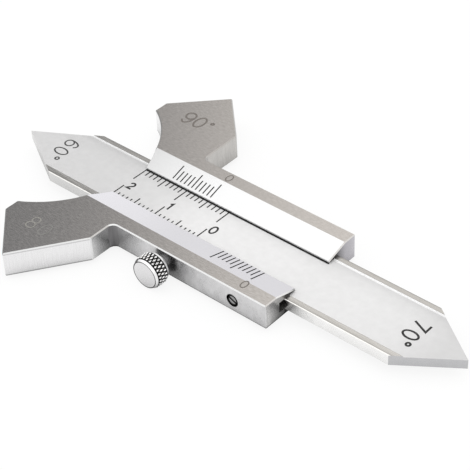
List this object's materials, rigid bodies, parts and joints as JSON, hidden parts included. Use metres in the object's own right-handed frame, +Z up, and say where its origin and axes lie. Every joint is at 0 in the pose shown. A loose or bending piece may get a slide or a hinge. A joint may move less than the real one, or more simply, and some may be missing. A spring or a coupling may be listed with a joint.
{
  "type": "weld gauge",
  "caption": "Flat steel vernier weld gauge: a graduated slide with pointed tips runs in a milled body with angled wings and a knurled lock screw, for throat size and weld height.",
  "frame": {"origin": "on the body's back face, on the slide's centre line, under the zero line of the throat vernier", "axes": "+X along the slide towards its 70 degree tip, +Y across it towards the 90 degree wing, +Z up from the back face to the scales"},
  "size_m": [0.099, 0.0588, 0.0061],
  "materials": {
    "body_steel": "fine ground, brushed along the slide",
    "beam_steel": "satin scale field between ground lands",
    "gib_steel": "plain spring steel",
    "lock_screw_steel": "bright plated",
    "set_screw_steel": "plain turned steel"
  },
  "bodies": {
    "gauge_body": {"body": "body_steel", "gib_strip": "gib_steel", "set_screw": "set_screw_steel"},
    "slide": {"beam": "beam_steel"},
    "lock_screw": {"lock_screw": "lock_screw_steel"}
  },
  "joints": [
    {"name": "beam_slide", "type": "slide", "parent": "gauge_body", "child": "slide", "axis": [1, 0, 0], "range_m": [-0.0049, 0.0357]},
    {"name": "lock_screw_turn", "type": "hinge", "parent": "gauge_body", "child": "lock_screw", "pos_m": [0.0042, -0.0145, 0.00235], "axis": [0, -1, 0], "range_deg": [0, 360]}
  ]
}
